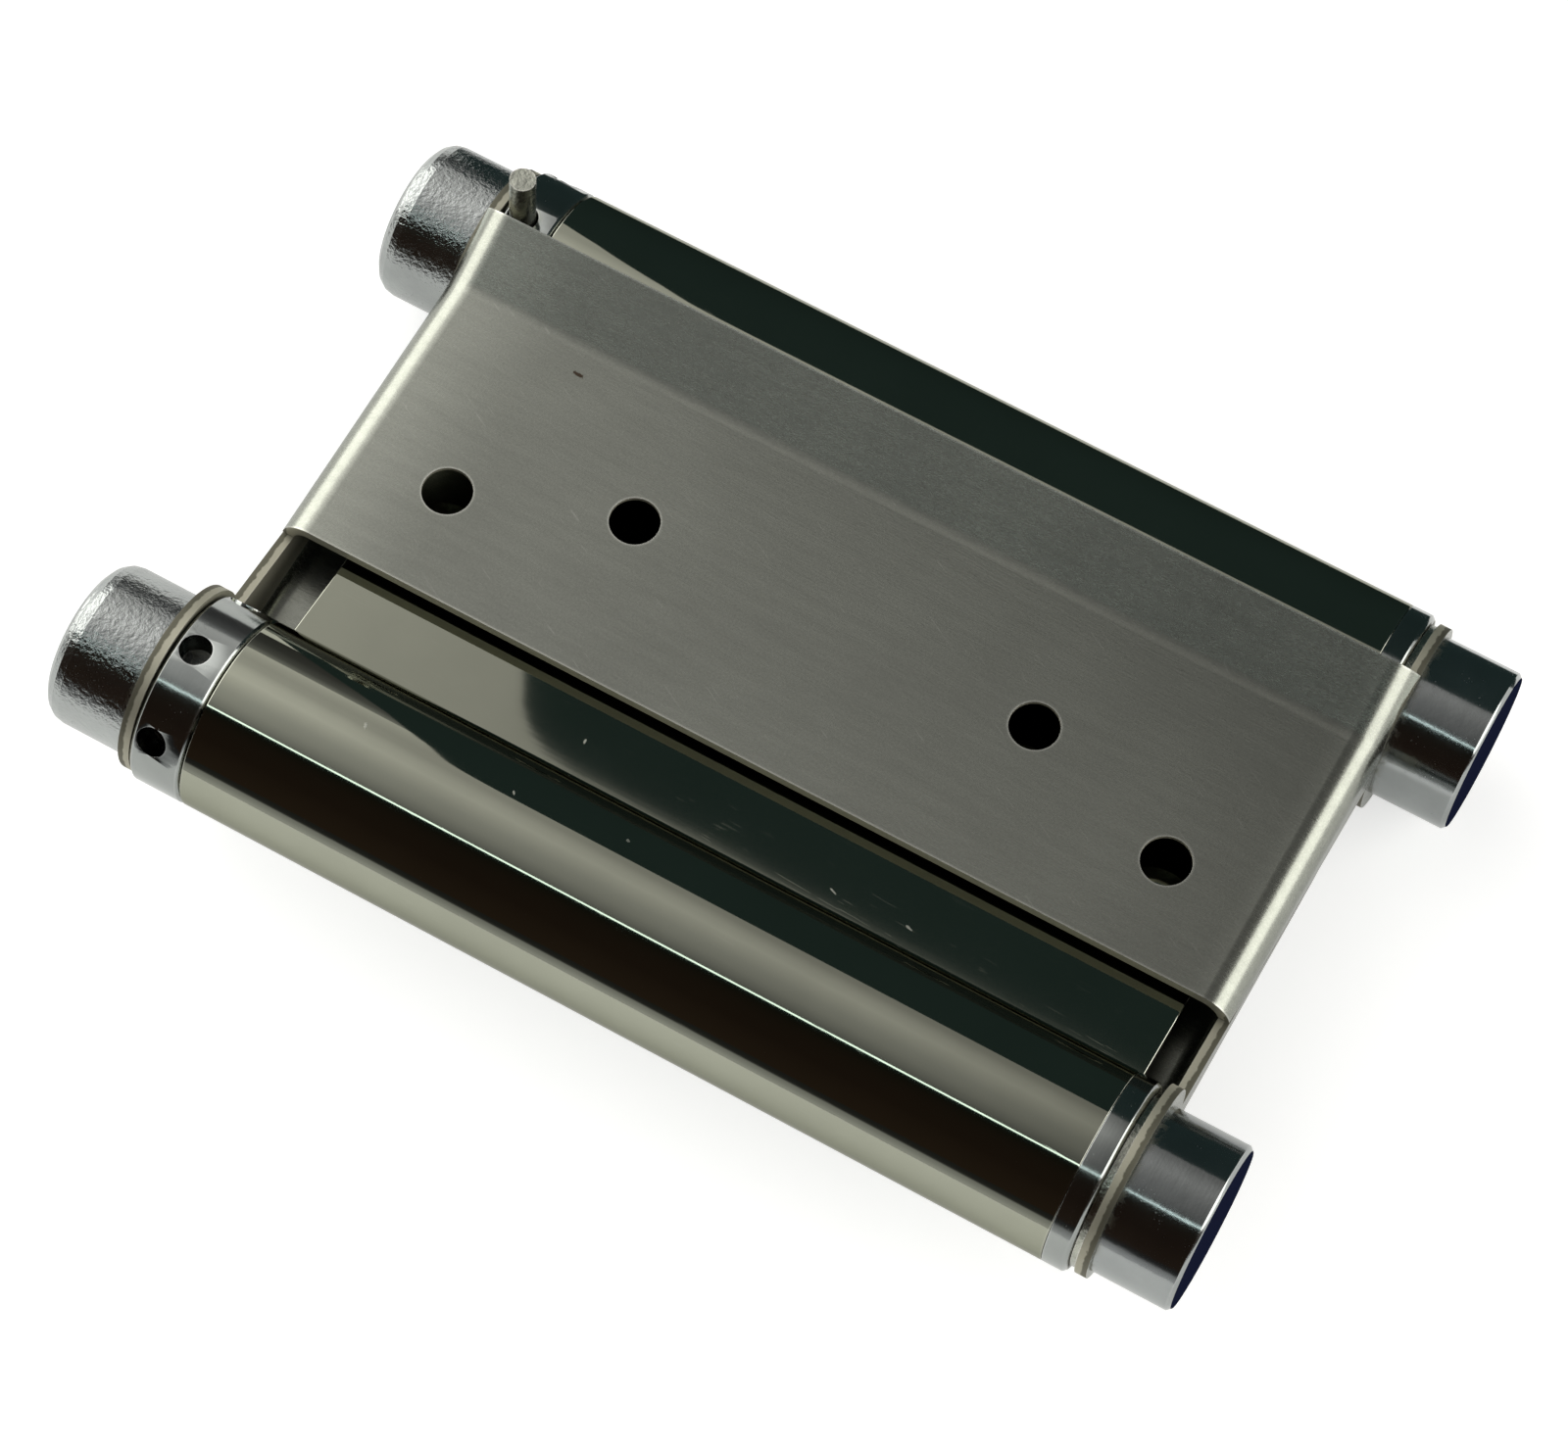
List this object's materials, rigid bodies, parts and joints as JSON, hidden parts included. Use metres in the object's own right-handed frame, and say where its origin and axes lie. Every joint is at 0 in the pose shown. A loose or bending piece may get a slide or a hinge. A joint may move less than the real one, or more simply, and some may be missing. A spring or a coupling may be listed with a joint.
{
  "type": "double action spring hinge",
  "caption": "Double action spring hinge: two folded leaves on a web rolled into twin spring barrels, with tension collars, stop pins and end caps.",
  "frame": {"origin": "middle of the hinge's whole length, halfway between the two barrel axes", "axes": "+X along the barrels towards the plain collars, +Y from the front barrel to the rear barrel, +Z out of the top leaf's outer face"},
  "size_m": [0.0992, 0.0654, 0.0238],
  "materials": {
    "polished_sheet": "mirror polished stainless sheet",
    "brushed_sheet": "satin stainless sheet, brushed along the length",
    "collar_chrome": "turned steel, bright chrome plate",
    "cap_chrome": "bright chrome plate",
    "rough_chrome": "chrome plate over a rough surface",
    "steel": "plain turned steel",
    "spring_steel": "oiled spring wire"
  },
  "bodies": {
    "web": {"web_barrels": "polished_sheet", "rear_anchor_collar": "collar_chrome", "front_anchor_collar": "collar_chrome", "rear_spring": "spring_steel", "front_spring": "spring_steel"},
    "top_leaf": {"leaf_top": "brushed_sheet", "rear_spindle": "steel", "rear_left_cap": "rough_chrome", "rear_right_cap": "cap_chrome", "rear_left_washer": "steel", "rear_right_washer": "steel"},
    "bottom_leaf": {"leaf_bottom": "brushed_sheet", "front_spindle": "steel", "front_left_cap": "rough_chrome", "front_right_cap": "cap_chrome", "front_left_washer": "steel", "front_right_washer": "steel"},
    "rear_collar": {"rear_adjusting_collar": "collar_chrome"},
    "front_collar": {"front_adjusting_collar": "collar_chrome"},
    "rear_pin": {"rear_stop_pin": "steel"},
    "front_pin": {"front_stop_pin": "steel"}
  },
  "joints": [
    {"name": "top_leaf_hinge", "type": "hinge", "parent": "web", "child": "top_leaf", "pos_m": [0, 0.02469, -0.0039], "axis": [-1, 0, 0], "range_deg": [0, 180], "stiffness_Nm_per_rad": 0.4, "springref_deg": -68.75, "deforming": ["rear_spring"]},
    {"name": "rear_tension_turn", "type": "hinge", "parent": "top_leaf", "child": "rear_collar", "pos_m": [0, 0.02469, -0.0039], "axis": [-1, 0, 0], "range_deg": [0, 60], "stiffness_Nm_per_rad": 0.4, "springref_deg": -68.75},
    {"name": "rear_pin_slide", "type": "slide", "parent": "rear_collar", "child": "rear_pin", "axis": [0, 0.0357, 0.9994], "range_m": [0, 0.0045]},
    {"name": "bottom_leaf_hinge", "type": "hinge", "parent": "web", "child": "bottom_leaf", "pos_m": [0, -0.02469, 0.0039], "axis": [-1, 0, 0], "range_deg": [0, 180], "stiffness_Nm_per_rad": 0.4, "springref_deg": -68.75, "deforming": ["front_spring"]},
    {"name": "front_tension_turn", "type": "hinge", "parent": "bottom_leaf", "child": "front_collar", "pos_m": [0, -0.02469, 0.0039], "axis": [-1, 0, 0], "range_deg": [0, 60], "stiffness_Nm_per_rad": 0.4, "springref_deg": -68.75},
    {"name": "front_pin_slide", "type": "slide", "parent": "front_collar", "child": "front_pin", "axis": [0, -0.0357, -0.9994], "range_m": [0, 0.0045]}
  ]
}
